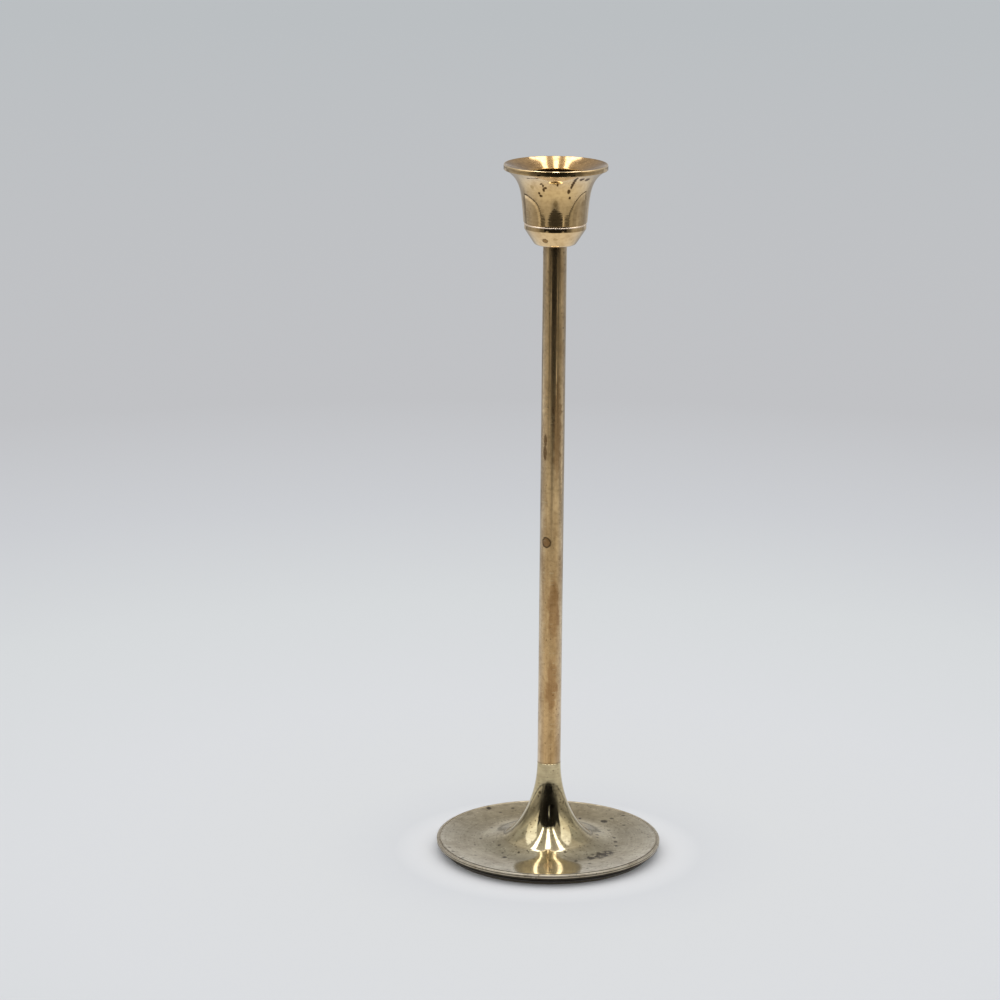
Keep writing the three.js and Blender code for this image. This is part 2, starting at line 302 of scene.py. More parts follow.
# The flaps stand inside the walls. Each has a band that the lamps brighten, and a dark hem.
FLAPS = {
    "left": (
        (-0.455, -0.680, 0.30),
        (-0.498, -0.604, 0.16),
        (-0.600, -0.500, 0.10),
        (-0.612, -0.488, 0.22),
        (-0.627, -0.440, 0.27),
        (-0.619, -0.223, 0.32),
        (-0.625, 0.034, 0.38),
        (-0.592, 0.338, 0.42),
        (-0.580, 0.430, 0.42),
        (-0.580, 0.435, 0.08),
        (-0.575, 0.460, 0.08),
    ),
    "right": (
        (0.410, -0.680, 0.30),
        (0.442, -0.642, 0.16),
        (0.550, -0.550, 0.10),
        (0.562, -0.540, 0.20),
        (0.581, -0.521, 0.25),
        (0.618, -0.334, 0.27),
        (0.581, -0.108, 0.30),
        (0.524, 0.083, 0.42),
        (0.490, 0.260, 0.42),
        (0.490, 0.265, 0.08),
        (0.485, 0.290, 0.08),
    ),
}
FLAP_LEVELS = ((0.0, 0), (0.014, 0), (0.018, 1), (0.036, 1), (0.048, 0), (0.085, 0))
FLAP_GAIN = {"left": 0.9, "right": 0.3}
FLAP_GAIN_START = -0.49
HEM_HEIGHT = 0.015
HEM_INSET = 0.99
HEM_TONE = 0.10
for name, path in FLAPS.items():
    path = [(x, y, t, FLAP_GAIN[name] if y > FLAP_GAIN_START else 0) for x, y, t in path]
    levels = [[(x, y, z, t * (1 + gain * lit)) for x, y, t, gain in path] for z, lit in FLAP_LEVELS]
    hang(f"flap_{name}", levels)
    edge = [(x * HEM_INSET, y * HEM_INSET) for x, y, t, gain in path]
    hang(f"flap_hem_{name}", [[(x, y, z, HEM_TONE) for x, y in edge] for z in (0.0, HEM_HEIGHT)])

# Past the left flap a piece of the wall shows. The rear wall has a dark seam low down, and three
# rows of lamps run back just under the roof, each as wide as its points say.
WALL_END = ((-0.62, 0.46), (-0.62, 0.78))
WALL_END_HEIGHT = 0.16
WALL_END_TONE = 0.24
REAR_TONES = (
    (0.0, 0.46),
    (0.09, 0.46),
    (0.11, 0.26),
    (0.14, 0.26),
    (0.16, 0.60),
    (0.29, 0.62),
    (0.36, 0.52),
    (0.44, 0.44),
    (0.62, 0.42),
    (ROOF, 0.6),
)
ROOF_TONES = ((-1.15, 0.50), (-0.40, 0.55), (0.0, 0.68), (0.30, 0.80), (0.70, 0.75), (REAR, 0.60))
LAMP_ROWS = {
    "left": (
        (-0.50, -1.08, 0.12),
        (-0.49, -0.72, 0.13),
        (-0.46, -0.29, 0.14),
        (-0.38, 0.15, 0.13),
        (-0.105, 0.75, 0.08),
        (-0.15, 0.95, 0.12),
    ),
    "middle": (
        (0.000, -1.08, 0.20),
        (0.000, -0.30, 0.17),
        (0.000, 0.30, 0.08),
        (0.010, 0.68, 0.05),
        (0.010, 0.95, 0.05),
    ),
    "right": (
        (0.44, -1.08, 0.12),
        (0.46, -0.63, 0.13),
        (0.41, -0.11, 0.14),
        (0.31, 0.35, 0.13),
        (0.13, 0.75, 0.08),
        (0.18, 0.95, 0.13),
    ),
}
LAMP_HEIGHT = ROOF - 0.01
LAMP_TONE = 6.0
hang("wall_end_left", [[(x, y, z, WALL_END_TONE) for x, y in WALL_END] for z in (0.0, WALL_END_HEIGHT)])
hang("rear_wall", [[(x, REAR, z, t) for x in FULL_WIDTH] for z, t in REAR_TONES])
hang("roof", [[(x, y, ROOF, t) for x in FULL_WIDTH] for y, t in ROOF_TONES])
for name, line in LAMP_ROWS.items():
    edges = [[(x + side * wide, y) for side in (-0.5, 0.5)] for x, y, wide in line]
    hang(f"lamps_{name}", [[(x, y, LAMP_HEIGHT, LAMP_TONE) for x, y in pair] for pair in edges])

# The felt pad: a disc of dark wool felt, die-cut and glued under the foot, a little smaller than
# it, so that the brass seems to float. Its cut edge is soft and slightly uneven.
FELT_EDGE_REACH = 0.5
FELT_EDGE_DENT = 0.12
FELT_DENTS_APART = 1.5
FELT_DENTED_WIDTH = 1
FELT_COLOURS = ("#3B362C", "#5A5244")
FELT_FIBRE = 0.5
FELT_FUZZ = 0.2
MM = 0.001
STEPS_ROUND = 256
SHARP_FROM = 35


def rounded(before, corner, after, reach, steps=6):
    """A corner of an outline, softened by a curve that leaves its sides at the given reach."""
    before, corner, after = Vector(before), Vector(corner), Vector(after)
    start = corner + (before - corner).normalized() * reach
    end = corner + (after - corner).normalized() * reach
    shares = [i / steps for i in range(steps + 1)]
    return [start * (1 - t) ** 2 + corner * 2 * t * (1 - t) + end * t * t for t in shares]


def turned(name, outline, lift, closed=False):
    """A piece turned about the Z axis from an outline of radius and height in millimetres. A closed
    outline ends where it starts, and an open one starts and ends on the axis."""
    points, faces, circles = [], [], []
    for radius, height in outline:
        count = STEPS_ROUND if radius > 0 else 1
        circles.append(range(len(points), len(points) + count))
        for i in range(count):
            angle = 2 * math.pi * i / STEPS_ROUND
            x, y = radius * math.cos(angle), radius * math.sin(angle)
            points.append((x * MM, y * MM, height * MM + lift))
    for low, high in zip(circles, circles[1:] + (circles[:1] if closed else [])):
        for i in range(STEPS_ROUND):
            j = (i + 1) % STEPS_ROUND
            corners = low[i % len(low)], low[j % len(low)], high[j % len(high)], high[i % len(high)]
            faces.append(list(dict.fromkeys(corners)))
    mesh = bpy.data.meshes.new(name)
    mesh.from_pydata(points, [], faces)
    mesh.shade_smooth()
    mesh.set_sharp_from_angle(angle=math.radians(SHARP_FROM))
    piece = bpy.data.objects.new(name, mesh)
    scene.collection.objects.link(piece)
    return piece


def grain(millimetres):
    """The scale of a pattern whose features are that far apart."""
    return 1 / (millimetres * MM)


pad_low, pad_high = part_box("felt_pad")
pad_radius = pad_high.x / MM
pad_top = pad_high.z / MM
felt = turned(
    "felt_disc",
    [
        (0, 0),
        (pad_radius * 0.5, 0),
        *rounded((0, 0), (pad_radius, 0), (pad_radius, pad_top), FELT_EDGE_REACH),
        (pad_radius, pad_top),
        (pad_radius * 0.5, pad_top),
        (0, pad_top),
    ],
    0.0,
)
for vertex in felt.data.vertices:
    away = Vector((vertex.co.x, vertex.co.y, 0))
    if away.length > (pad_radius - FELT_DENTED_WIDTH) * MM:
        dent = noise.noise(vertex.co / (FELT_DENTS_APART * MM)) * 0.5 + 0.5
        vertex.co -= away.normalized() * dent * FELT_EDGE_DENT * MM
# Wool felt, pressed and cut: dull and dark, with a soft sheen. Real fibres are too fine to show, so
# these are coarser.
material, tree, shader = finish("wool_felt")
place = add(tree, "TexCoord").outputs["Object"]
fibres = {"Vector": place, "Scale": grain(FELT_FIBRE), "Detail": 6.0, "Distortion": 1.5}
fibres = add(tree, "TexNoise", fibres)
tint = add(tree, "ValToRGB", [fibres], stops=[(0.35, FELT_COLOURS[0]), (0.7, FELT_COLOURS[1])])
fuzz = add(tree, "Bump", {"Strength": 0.8, "Distance": FELT_FUZZ * MM, "Height": fibres})
connect(tree, shader, {"Base Color": tint, "Normal": fuzz, "Roughness": 0.95, "Sheen Weight": 0.3})
felt.data.materials.append(material)
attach(felt, "root")
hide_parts("felt_pad")

# The foot: cast brass, turned all over and polished. A trumpet comes down from the stem to a
# tight root on a thin disc, which is dished a little and has a fine groove inside its edge.
FOOT_HEIGHT = 36.0
NECK_RADIUS = 4.7
NECK_REACH = 13.8
TRUMPET_SLOPE = 37.5
TRUMPET_REACH = 9.0
ROOT_RADIUS = 18.8
ROOT_HEIGHT = 4.0
ROOT_REACH = 0.85
DISH_INNER_SLOPE = 15
DISH_INNER_REACH = 8.0
DISH_OUTER_SLOPE = -6
DISH_OUTER_REACH = 16.0
EDGE_TOP = 3.7
EDGE_BEVEL_HEIGHT = 2.1
EDGE_BEVEL_WIDTH = 2.4
GROOVE_INSET = 1.2
GROOVE_WIDTH = 0.5
GROOVE_DEPTH = 0.25
SPIGOT_RADIUS = 3.35
SPIGOT_LENGTH = 4.0
ROD_HOLE_RADIUS = 2.15
RECESS_RADIUS = 8.0
RECESS_DEPTH = 9.5
DISH_STEPS = 64
TRUMPET_STEPS = 80
FINE_EDGE = 0.15
SOFT_EDGE = 0.4
FOOT_COLOURS_AND_PAINTED_LIGHT = (
    (0.10, "#DCCBA2"),
    (0.24, "#CBBB90"),
    (0.40, "#C8BA98"),
    (0.50, "#D2C7A9"),
    (0.66, "#CCC1A6"),
    (0.76, "#CABFA5"),
    (0.87, "#DCD2BA"),
    (0.95, "#E6DDC8"),
)
FOOT_BROWN = "#86704A"
FOOT_GRIME_AND_SHADE = "#1E180D"
GRIME_AND_SHADE_FRONT = -30.0
GRIME_AND_SHADE_LEAST = 0.1
GRIME_AND_SHADE_MOST = 0.8
WARM_FROM = 8.0
WARM_TO = 38.0
UNDER_FROM = 38.0
UNDER_TO = 41.0
EDGE_LINE_DROP = 0.75
WORN_INSET = 0.6
FOOT_SMEAR = [((21.5, -17.5, 2.8), (6.6, 3.0, 3), 42), ((17.5, -21.0, 2.8), (3.2, 2.0, 3), 30)]
FOOT_SPOTS = [
    ((-17.6, -21.3, 2.8), (0.9, 0.9, 3), 0),
    ((27.3, -2.2, 2.8), (0.8, 1.0, 3), 0),
    ((27.5, -7.0, 2.8), (0.7, 0.8, 3), 0),
    ((27.0, 2.5, 2.8), (0.6, 0.8, 3), 0),
    ((10.9, -25.0, 2.8), (0.7, 0.8, 3), 0),
    ((23.2, 22.0, 2.8), (1.4, 1.6, 3), 30),
    ((13.4, 25.6, 2.8), (0.6, 1.0, 3), 0),
    ((-12.0, -17.9, 3.6), (0.5, 0.8, 3), 0),
    ((-24.2, 34.5, 3.5), (0.9, 1.6, 3), 0),
    ((-27.3, 0.2, 2.8), (0.7, 0.6, 3), 0),
]


def swept(p0, p1, p2, p3, steps):
    """A cubic curve through an outline, from its two ends and their handles."""
    p0, p1, p2, p3 = (Vector(p) for p in (p0, p1, p2, p3))
    shares = [i / steps for i in range(steps + 1)]
    return [
        p0 * (1 - t) ** 3 + p1 * 3 * t * (1 - t) ** 2 + p2 * 3 * t * t * (1 - t) + p3 * t**3
        for t in shares
    ]


def inwards(start, slope, reach):
    """The point reached from another one of an outline by going inwards up a slope in degrees."""
    angle = math.radians(slope)
    return Vector(start) + reach * Vector((-math.cos(angle), math.sin(angle)))


MARK_FADE = (1.25, 0.7)


def closest(tree, place, marks):
    """How strongly a point shows the nearest mark, from 1 inside it to 0 just outside. A mark is its
    middle and its three half sizes in millimetres, and its turn in degrees about Z."""
    nearest = 10.0  # far outside every mark
    for middle, size, turn in marks:
        near = add(
            tree,
            "Mapping",
            [place, Vector(middle) * MM, (0, 0, math.radians(turn)), Vector(size) * MM],
            vector_type="TEXTURE",
        )
        near = add(tree, "VectorMath", [near], operation="LENGTH")
        nearest = add(tree, "Math", [nearest, near], operation="MINIMUM")
    return add(tree, "MapRange", [nearest, *MARK_FADE], interpolation_type="SMOOTHSTEP")


def spun(tree, place):
    """A point's distance from the axis, and its height."""
    parts = add(tree, "SeparateXYZ", [place]).outputs
    flat = add(tree, "CombineXYZ", [parts["X"], parts["Y"], 0.0])
    return add(tree, "VectorMath", [flat], operation="LENGTH"), parts["Z"]


def cloud(tree, place, apart, low=0.35, high=0.65, detail=3.0):
    """Soft patches that far apart in millimetres, spread over 0 to 1 between two levels of noise."""
    pattern = {"Vector": place, "Scale": grain(apart), "Detail": detail}
    return add(tree, "MapRange", [add(tree, "TexNoise", pattern), low, high])


def rings(tree, along, apart, low=0.35, high=0.65):
    """The fine lines of turning: noise that only changes along the outline."""
    pattern = {"W": along, "Scale": grain(apart), "Detail": 2.0}
    return add(tree, "MapRange", [add(tree, "TexNoise", pattern, noise_dimensions="1D"), low, high])


def ragged(tree, place, apart, reach):
    """The place shifted a little by noise, so that what is drawn from it has a ragged edge."""
    noise_here = {"Vector": place, "Scale": grain(apart), "Detail": 3.0}
    shift = add(tree, "TexNoise", noise_here).outputs["Color"]
    span = (reach * MM, reach * MM, reach * MM)
    shift = add(tree, "VectorMath", [shift, span, [-s / 2 for s in span]], operation="MULTIPLY_ADD")
    return add(tree, "VectorMath", [place, shift], operation="ADD")


def specks(tree, place, apart, size, share):
    """Round specks of up to the given half size, at some of a scatter of points."""
    cells = add(tree, "TexVoronoi", {"Vector": place, "Scale": grain(apart)}).outputs
    near = add(tree, "MapRange", [cells["Distance"], size / apart * 1.2, size / apart * 0.8])
    lot = add(tree, "SeparateColor", [cells["Color"]]).outputs["Red"]
    kept = add(tree, "Math", [lot, share], operation="LESS_THAN")
    return add(tree, "Math", [near, kept], operation="MULTIPLY")


def band(tree, value, middle, half, soft):
    """1 where a value is within half of the middle, falling to 0 over the soft margin."""
    off = add(tree, "Math", [value, middle * MM], operation="SUBTRACT")
    off = add(tree, "Math", [off], operation="ABSOLUTE")
    return add(tree, "MapRange", [off, (half + soft) * MM, half * MM])


def overlap(tree, first, *others):
    """How strongly several patterns show where they overlap. A number among them weakens them."""
    for other in others:
        first = add(tree, "Math", [first, other], operation="MULTIPLY")
    return first


def painted(tree, under, *layers):
    """Lays colours over one another. Each layer is a colour, its strength, and the patterns where
    it shows."""
    for colour, *patterns in layers:
        under = add(tree, "Mix", [overlap(tree, *patterns), under, linear(colour)], data_type="RGBA")
    return under


def summed(tree, start, *terms):
    """Adds patterns to a number, each times its own number."""
    for pattern, factor in terms:
        start = add(tree, "Math", [pattern, factor, start], operation="MULTIPLY_ADD")
    return start


def metal_finish(tree, shader, colour, roughness, relief):
    """Wires up a metal: its colour, its roughness and its relief in millimetres."""
    bump = add(tree, "Bump", {"Distance": MM, "Height": relief})
    metal = {"Base Color": colour, "Metallic": 1.0, "Roughness": roughness, "Normal": bump}
    connect(tree, shader, metal)


foot_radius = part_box("foot")[1].x / MM
foot_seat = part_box("foot")[0].z
level_radius = foot_radius - EDGE_BEVEL_WIDTH
groove_radius = foot_radius - GROOVE_INSET
dish_edge = Vector((groove_radius - GROOVE_WIDTH / 2, EDGE_TOP))
root_start = Vector((ROOT_RADIUS, ROOT_HEIGHT))
root_corner = inwards(root_start, DISH_INNER_SLOPE, ROOT_REACH)
root_end = inwards(root_corner, TRUMPET_SLOPE, ROOT_REACH)
dish = swept(
    dish_edge,
    inwards(dish_edge, DISH_OUTER_SLOPE, DISH_OUTER_REACH),
    inwards(root_start, DISH_INNER_SLOPE, -DISH_INNER_REACH),
    root_start,
    DISH_STEPS,
)
trumpet = swept(
    root_end,
    inwards(root_end, TRUMPET_SLOPE, TRUMPET_REACH),
    (NECK_RADIUS, FOOT_HEIGHT - NECK_REACH),
    (NECK_RADIUS, FOOT_HEIGHT - FINE_EDGE),
    TRUMPET_STEPS,
)
foot = turned(
    "trumpet_foot",
    [
        (ROD_HOLE_RADIUS, RECESS_DEPTH),
        (RECESS_RADIUS, RECESS_DEPTH),
        (RECESS_RADIUS, FINE_EDGE),
        (RECESS_RADIUS + FINE_EDGE, 0),
        *rounded((0, 0), (level_radius, 0), (foot_radius, EDGE_BEVEL_HEIGHT), FINE_EDGE),
        *rounded(
            (level_radius, 0),
            (foot_radius, EDGE_BEVEL_HEIGHT),
            (foot_radius, EDGE_TOP),
            SOFT_EDGE,
        ),
        *rounded((foot_radius, 0), (foot_radius, EDGE_TOP), (groove_radius, EDGE_TOP), SOFT_EDGE),
        *rounded(
            (foot_radius, EDGE_TOP),
            (groove_radius + GROOVE_WIDTH / 2, EDGE_TOP),
            (groove_radius, EDGE_TOP - GROOVE_DEPTH),
            GROOVE_WIDTH / 6,
        ),
        *rounded(
            (groove_radius + GROOVE_WIDTH / 2, EDGE_TOP),
            (groove_radius, EDGE_TOP - GROOVE_DEPTH),
            (groove_radius - GROOVE_WIDTH / 2, EDGE_TOP),
            GROOVE_WIDTH / 4,
        ),
        *rounded((groove_radius, EDGE_TOP - GROOVE_DEPTH), dish_edge, dish[1], GROOVE_WIDTH / 6),
        *dish[1:-1],
        *rounded(root_start, root_corner, root_end, ROOT_REACH, steps=12),
        *trumpet[1:],
        (NECK_RADIUS - FINE_EDGE, FOOT_HEIGHT),
        (SPIGOT_RADIUS, FOOT_HEIGHT),
        (SPIGOT_RADIUS, FOOT_HEIGHT + SPIGOT_LENGTH - FINE_EDGE),
        (SPIGOT_RADIUS - FINE_EDGE, FOOT_HEIGHT + SPIGOT_LENGTH),
        (ROD_HOLE_RADIUS, FOOT_HEIGHT + SPIGOT_LENGTH),
    ],
    foot_seat,
    closed=True,
)
# Polished brass that has greyed in the air: soft brown clouds, the rings of turning, dark specks
# and a smear on the disc, grime and painted shade in the groove, and painted shade under the edge.
# Painted light makes it paler at the neck and towards the edge. The rings are coarser than real
# ones, so that they show.
material, tree, shader = finish("polished_brass_greyed")
place = add(tree, "TexCoord").outputs["Object"]
place = add(tree, "VectorMath", [place, (0, 0, foot_seat)], operation="SUBTRACT")
radius, height = spun(tree, place)
outward = add(tree, "Math", [radius, foot_radius * MM], operation="DIVIDE")
along = add(tree, "Math", [radius, height], operation="SUBTRACT")
lines = rings(tree, along, apart=0.9)
swell = rings(tree, along, apart=6.0)
clouds = cloud(tree, place, apart=9.0, low=0.42, high=0.68, detail=5.0)
mottle = cloud(tree, place, apart=2.2, low=0.4, high=0.7, detail=4.0)
torn = ragged(tree, place, apart=1.1, reach=0.9)
spots = closest(tree, torn, FOOT_SPOTS)
smear = closest(tree, ragged(tree, place, apart=2.5, reach=3.0), FOOT_SMEAR)
smear = overlap(tree, smear, cloud(tree, place, apart=1.8, low=0.42, high=0.52))
fine = specks(tree, place, apart=1.5, size=0.33, share=0.6)
coarse = specks(tree, torn, apart=5.0, size=0.8, share=0.45)
# The disc is warmer behind. Grime and painted shade darken its groove, the shade most in front,
# where the groove mirrors the dark opening. Painted shade darkens the bevel under its edge and a
# fine line round that edge.
backward = add(tree, "SeparateXYZ", [place]).outputs["Y"]
# Painted shade in the groove is strongest in front.
front = add(tree, "MapRange", [backward, 0.0, GRIME_AND_SHADE_FRONT * MM, GRIME_AND_SHADE_LEAST, GRIME_AND_SHADE_MOST])
behind = add(tree, "MapRange", [backward, WARM_FROM * MM, WARM_TO * MM])
groove = overlap(tree, band(tree, radius, groove_radius, half=0.22, soft=0.25), front)
# Painted shade under the edge: the bevel there is darkened.
under = [height, (EDGE_BEVEL_HEIGHT + 0.5) * MM, (EDGE_BEVEL_HEIGHT + 0.1) * MM]
under = add(tree, "MapRange", under)
under = overlap(tree, under, add(tree, "MapRange", [radius, UNDER_FROM * MM, UNDER_TO * MM]))
rim = band(tree, radius, foot_radius, half=0.1, soft=0.1)
# A painted shade line round the edge band, where it mirrors the dark opening.
edge_line_shade = overlap(tree, rim, band(tree, height, EDGE_TOP - EDGE_LINE_DROP, half=0.12, soft=0.12))
edge = band(tree, radius, foot_radius - WORN_INSET, half=0.9, soft=0.3)
# Partly the brass's own tone, partly painted light: paler at the neck and towards the edge.
colour = add(tree, "ValToRGB", [outward], stops=FOOT_COLOURS_AND_PAINTED_LIGHT)
colour = painted(
    tree,
    colour,
    ("#E8CB8A", 0.4, behind),
    (FOOT_BROWN, 0.32, clouds),
    (FOOT_BROWN, 0.14, lines),
    ("#6B5A3C", 0.22, mottle),
    ("#3E2E12", 0.92, smear),
    ("#3F2F10", 0.9, spots),
    ("#5B4A2D", 0.6, fine),
    ("#4A3B22", 0.7, coarse),
    ("#8A7458", 0.3, edge),
    # painted shade line round the edge
    (FOOT_GRIME_AND_SHADE, 0.85, edge_line_shade),
    # painted shade under the edge
    ("#21190C", 0.92, under),
    # grime and painted shade in the groove
    (FOOT_GRIME_AND_SHADE, 1.0, groove),
)
dull = summed(tree, 0.075, (clouds, 0.04), (mottle, 0.03), (edge, 0.22), (groove, 0.3), (under, 0.3))
roughness = summed(tree, dull, (spots, 0.12), (smear, 0.12))
relief = summed(tree, 0.0, (lines, 0.0012), (swell, 0.004), (mottle, 0.0015))
relief = summed(tree, relief, (spots, -0.01), (coarse, -0.01))
metal_finish(tree, shader, colour, roughness, relief)
foot.data.materials.append(material)
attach(foot, "root")
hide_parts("foot")

# The stem: a plain length of drawn brass tube, cut square. It slips over the spigots of the foot
# and the cup, and the tie rod inside it clamps it between them.
STEM_WALL = 1.2
STEM_STEPS = 40
STEM_BRASS = "#E4BE88"
STEM_BROWN = "#8E6A3A"
STEM_DARK = "#4A3418"
STEM_BLEMISHES = [
    ((-3.0, -3.5, 128.5), (0.9, 1.1, 3.2), 0),
    ((-2.9, -3.6, 133.5), (0.7, 1.0, 2.6), 0),
    ((-4.6, -0.2, 207.8), (0.7, 1.0, 0.7), 0),
]
STEM_RING = ((-2.3, -4.1, 92.2), (2.0, 1.4, 2.0), 0)
STEM_PATCHES = [
    ((1.2, -4.6, 65.0), (2.4, 2.0, 13.0), 0),
    ((0.6, -4.6, 33.0), (2.4, 2.0, 11.0), 0),
    ((1.6, -4.4, 140.0), (1.6, 2.0, 22.0), 0),
]
BORDER_STRENGTH = 0.9
BRIGHT_FROM = 70.0
BRIGHT_TO = 115.0
BROWN_FROM = 45.0
BROWN_TO = 12.0
STREAK_SQUEEZE = (1, 1, 0.05)
CLOUD_SQUEEZE = (1, 1, 0.35)
STEM_PALING = (0.12, 0.55)


def border(tree, mark):
    """The soft border of a mark, strongest halfway between the mark and the metal round it."""
    rest = add(tree, "Math", [1.0, mark], operation="SUBTRACT")
    return overlap(tree, mark, rest, 4 * BORDER_STRENGTH)


stem_low, stem_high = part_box("stem_tube")
stem_radius = stem_high.x / MM
stem_length = (stem_high.z - stem_low.z) / MM
stem_bore = stem_radius - STEM_WALL
stem = turned(
    "drawn_stem",
    [
        (stem_bore, 0),
        *rounded((stem_bore, 0), (stem_radius, 0), (stem_radius, stem_length), FINE_EDGE),
        *[(stem_radius, stem_length * i / STEM_STEPS) for i in range(1, STEM_STEPS)],
        *rounded((stem_radius, 0), (stem_radius, stem_length), (stem_bore, stem_length), FINE_EDGE),
        (stem_bore, stem_length),
    ],
    stem_low.z,
    closed=True,
)
# Drawn brass, polished along its length and tarnished since: long streaks, brown patches, a few
# blemishes and some faint scratches round it. Painted light makes it brighter towards the cup, and
# its gloss is paler towards the edges, where it is seen at a shallow angle.
material, tree, shader = finish("drawn_brass_tarnished")
place = add(tree, "TexCoord").outputs["Object"]
place = add(tree, "VectorMath", [place, (0, 0, stem_low.z)], operation="SUBTRACT")
height = add(tree, "SeparateXYZ", [place]).outputs["Z"]
# Painted light: brighter towards the cup.
lit_upwards = add(tree, "MapRange", [height, BRIGHT_FROM * MM, BRIGHT_TO * MM])
downwards = add(tree, "MapRange", [height, BROWN_FROM * MM, BROWN_TO * MM])
# Squeezing the place along the tube stretches what is drawn from it.
drawn = add(tree, "VectorMath", [place, STREAK_SQUEEZE], operation="MULTIPLY")
streaks = cloud(tree, drawn, apart=1.3, low=0.35, high=0.7, detail=4.0)
stretched = add(tree, "VectorMath", [place, CLOUD_SQUEEZE], operation="MULTIPLY")
clouds = cloud(tree, stretched, apart=5.0, low=0.42, high=0.66, detail=4.0)
mottle = cloud(tree, place, apart=1.4, low=0.45, high=0.75, detail=4.0)
torn = ragged(tree, place, apart=1.0, reach=0.7)
blemishes = closest(tree, torn, STEM_BLEMISHES)
patches = closest(tree, ragged(tree, place, apart=3.0, reach=4.0), STEM_PATCHES)
stain = closest(tree, torn, [STEM_RING])
ring = border(tree, stain)
dots = specks(tree, torn, apart=2.6, size=0.35, share=0.5)
scratches = rings(tree, height, apart=1.1, low=0.62, high=0.7)
scratches = overlap(tree, scratches, cloud(tree, drawn, apart=2.2, low=0.5, high=0.62))
edgeward = add(tree, "LayerWeight", [0.5]).outputs["Facing"]
edgeward = add(tree, "MapRange", [edgeward, *STEM_PALING])
bottom = band(tree, height, 0.0, half=0.25, soft=0.5)
top = band(tree, height, stem_length, half=0.2, soft=0.4)
colour = painted(
    tree,
    linear(STEM_BRASS),
    # painted light, brighter towards the cup
    ("#FFDA9E", 0.75, lit_upwards),
    ("#FBF0DC", 0.55, edgeward),
    (STEM_BROWN, 0.12, downwards),
    (STEM_BROWN, 0.40, clouds),
    ("#7A5A30", 0.30, streaks),
    ("#6E5230", 0.32, mottle),
    ("#8E5F30", 0.5, patches),
    ("#7A5028", 0.7, stain),
    ("#2E1D0C", 0.9, ring),
    (STEM_DARK, 0.5, dots),
    ("#5C3C18", 0.75, blemishes),
    ("#EAD9AE", 0.25, scratches),
    ("#5A4A2E", 0.25, bottom),
    (STEM_DARK, 0.6, top),
)
roughness = summed(tree, 0.12, (streaks, 0.05), (clouds, 0.05), (blemishes, 0.25), (mottle, 0.04))
relief = summed(tree, 0.0, (streaks, 0.003), (mottle, 0.002), (scratches, -0.003), (blemishes, -0.01))
metal_finish(tree, shader, colour, roughness, relief)
stem.data.materials.append(material)
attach(stem, "root")
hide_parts("stem_tube")

# The candle cup: turned from a brass casting. A shallow funnel catches the wax round a straight
# socket, and a cone comes in below a grooved collar to a blind hole that the tie rod screws into.
SOCKET_RADIUS = 11.2
SOCKET_FLOOR = 10.0
SOCKET_TOP = 28.0
ROD_HOLE_DEPTH = 7.0
CUP_HEIGHT = 31.5
RIM_LIP_WIDTH = 0.65
RIM_BAND_HEIGHT = 2.1
RIM_OVERHANG = 0.4
FLARE_BOTTOM = 9.0
FLARE_BOTTOM_HANDLE = (1.02, 12.8)
FLARE_TOP_HANDLE = (6.1, 3.8)
FLARE_STEPS = 48
WAIST_RADIUS = 12.45
CUP_GROOVE_DEPTH = 0.5
CUP_GROOVE_TAPER = 0.2
COLLAR_TOP = 8.2
GROOVE_LIP = 0.44
CONE_TOP = 6.4
COLLAR_RADIUS = 12.1
CONE_FOOT = 7.9
ROUND_EDGE = 1.0
CUP_BRASS = "#F6D092"
CUP_BROWN = "#9A7442"
CUP_DARK = "#452A0A"
CUP_PALING = (0.12, 0.7)
SOCKET_DARK_FROM = 0.1
SOCKET_DARK_TO = -0.6
CUP_SPOTS = [
    ((-5.8, -14.8, 25.9), (0.50, 0.9, 0.36), 0),
    ((-5.1, -14.5, 25.2), (0.36, 0.9, 0.85), 0),
    ((-4.2, -14.4, 24.4), (0.70, 0.8, 0.48), 0),
    ((-4.8, -13.8, 23.5), (0.46, 0.8, 0.85), 0),
    ((-6.5, -12.5, 22.0), (0.55, 0.7, 0.50), 0),
    ((-5.8, -12.5, 21.0), (0.75, 0.7, 0.58), 0),
    ((-1.5, -16.7, 27.0), (0.85, 1.1, 0.34), 0),
    ((-0.2, -16.8, 27.0), (0.80, 1.1, 0.38), 0),
    ((0.5, -15.9, 25.9), (0.38, 1.0, 1.05), 0),
    ((8.0, -17.0, 28.5), (0.52, 1.0, 0.55), 0),
    ((7.5, -16.3, 28.0), (0.54, 0.9, 0.62), 0),
    ((7.2, -15.8, 27.5), (0.60, 1.1, 0.95), 0),
    ((6.7, -15.0, 26.5), (0.58, 1.0, 1.15), 0),
    ((6.2, -14.4, 25.5), (0.54, 1.0, 1.10), 0),
    ((5.8, -14.0, 24.6), (0.46, 0.9, 0.85), 0),
    ((4.8, -13.5, 22.9), (0.70, 0.8, 1.05), 0),
    ((5.2, -12.7, 20.3), (0.50, 0.7, 0.55), 0),
    ((9.8, -14.6, 27.8), (1.20, 1.1, 0.75), 0),
    ((11.9, -12.4, 27.4), (1.40, 1.2, 0.85), 0),
    ((-10.7, -14.3, 28.0), (1.00, 0.8, 0.22), -30),
    ((-9.1, -15.7, 28.2), (1.00, 0.8, 0.22), -30),
    ((-7.6, -16.7, 28.4), (0.90, 0.8, 0.22), -26),
]
CUP_BLOT = ((-4.0, -9.0, 2.9), (1.1, 1.0, 1.0), 0)
CUP_SMUDGES = [
    ((-0.4, -16.6, 26.5), (2.2, 1.4, 1.2), 0),
    ((-9.3, -11.7, 24.3), (0.9, 0.9, 0.8), 0),
    ((0.0, -10.3, 3.7), (0.8, 0.8, 0.6), 0),
    ((-0.2, -13.3, 18.2), (0.9, 0.8, 1.3), 0),
]

